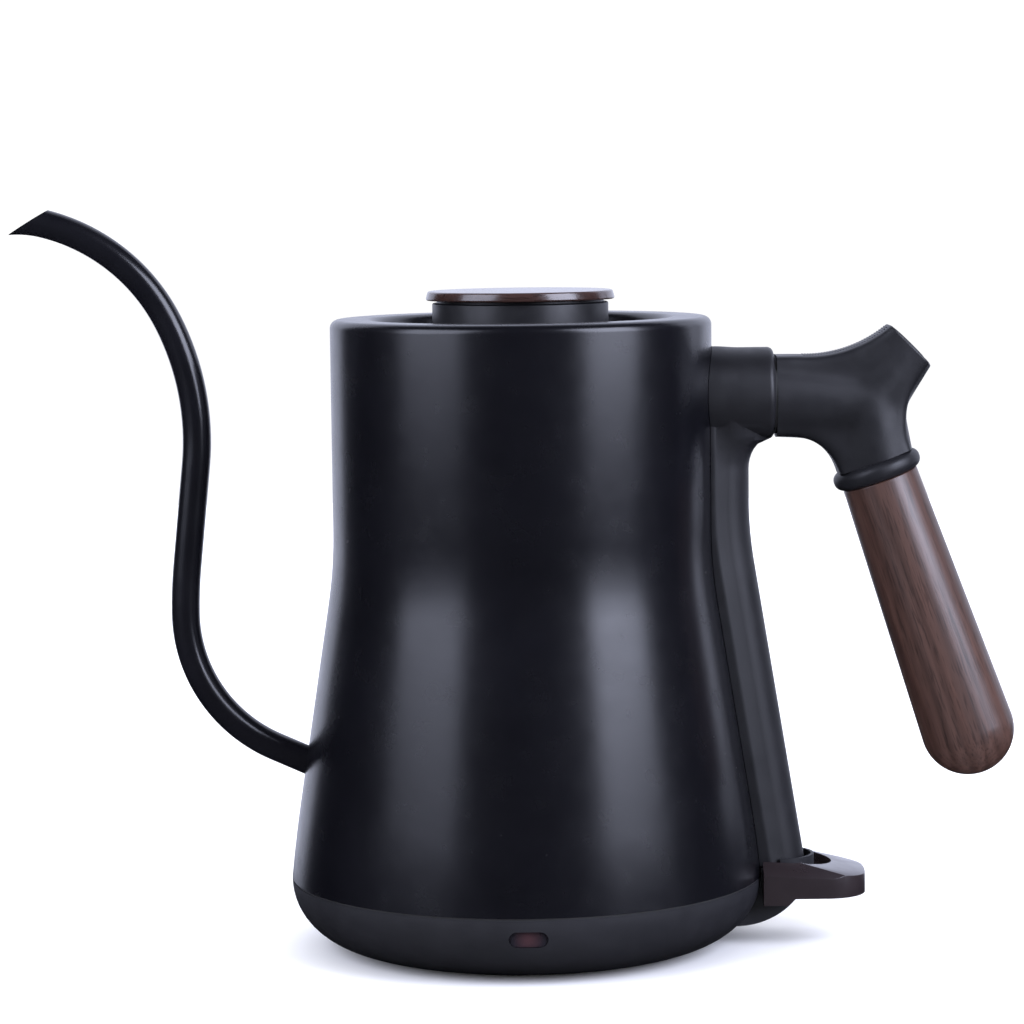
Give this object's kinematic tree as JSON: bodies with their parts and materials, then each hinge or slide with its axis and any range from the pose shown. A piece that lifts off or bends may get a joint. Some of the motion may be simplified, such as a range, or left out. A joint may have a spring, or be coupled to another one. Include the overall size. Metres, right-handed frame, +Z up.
{
  "type": "electric kettle",
  "caption": "Cordless gooseneck electric kettle: waisted painted body, swan-neck pouring spout, tilted wooden grip on a black yoke, lift-out lid and a rocking switch lever at the foot.",
  "frame": {"origin": "on the body's axis, in the plane that the foot ring rests on", "axes": "+Z up, +X towards the handle, spout towards -X, indicator lamp towards -Y"},
  "size_m": [0.2897, 0.137, 0.2147],
  "materials": {
    "body_paint": "satin black powder paint",
    "spout_paint": "satin black paint",
    "base_plastic": "fine matte charcoal",
    "handle_plastic": "fine matte black",
    "lever_gloss": "glossy dark brown",
    "lens_smoke": "smoked gloss",
    "walnut": "semi-gloss dark walnut",
    "stainless": "brushed",
    "aluminium": "as cast",
    "brass": "plain",
    "silicone": "matt black silicone",
    "control_plastic": "cream phenolic",
    "circuit_board": "green lacquer",
    "lamp_red": "clear red"
  },
  "bodies": {
    "kettle": {"body_vessel": "body_paint", "vessel_floor": "stainless", "heat_spreader": "aluminium", "heating_element": "aluminium", "terminal_straps": "brass", "floor_standoffs": "stainless", "spout_tube": "spout_paint", "spout_filter": "stainless", "base_cover": "base_plastic", "base_seal": "silicone", "foot_ring": "silicone", "base_screws": "stainless", "indicator_lens": "lens_smoke", "lamp_board": "circuit_board", "lamp_led": "lamp_red", "lamp_wires": "silicone", "power_socket": "control_plastic", "socket_contacts": "brass", "control_unit": "control_plastic", "bimetal_discs": "stainless", "trip_pin": "stainless", "return_leaf": "stainless", "spine_shell": "handle_plastic", "handle_bracket": "stainless", "neck_spigot": "stainless", "lock_screw": "stainless", "steam_port": "silicone", "steam_tube": "silicone", "steam_disc": "stainless", "sensor_cup": "control_plastic", "handle_neck": "handle_plastic", "neck_gasket": "silicone", "horn_cap": "handle_plastic", "grip_ring": "handle_plastic", "wood_grip": "walnut", "grip_rod": "stainless", "grip_inserts": "brass"},
    "lid": {"lid_plate": "body_paint", "lid_liner": "stainless", "lid_seal": "silicone", "knob_body": "handle_plastic", "knob_cap": "walnut", "lid_screw": "stainless"},
    "switch": {"switch_lever": "lever_gloss", "lever_pin": "stainless", "lever_crank": "control_plastic"},
    "trip": {"trip_lever": "control_plastic"}
  },
  "joints": [
    {"name": "lid_lift", "type": "slide", "parent": "kettle", "child": "lid", "axis": [0, 0, 1], "range_m": [0, 0.06]},
    {"name": "switch_press", "type": "hinge", "parent": "kettle", "child": "switch", "pos_m": [0.0715, 0, 0.0155], "axis": [0, 1, 0], "range_deg": [0, 9], "stiffness_Nm_per_rad": 0.05, "springref_deg": -17.19},
    {"name": "trip_rock", "type": "hinge", "parent": "kettle", "child": "trip", "pos_m": [0.048, 0, 0.0154], "axis": [0, 1, 0], "range_deg": [-7.5, 0]}
  ],
  "couplings": [
    {"joint": "trip_rock", "follows": "switch_press", "ratio": -0.8077}
  ]
}
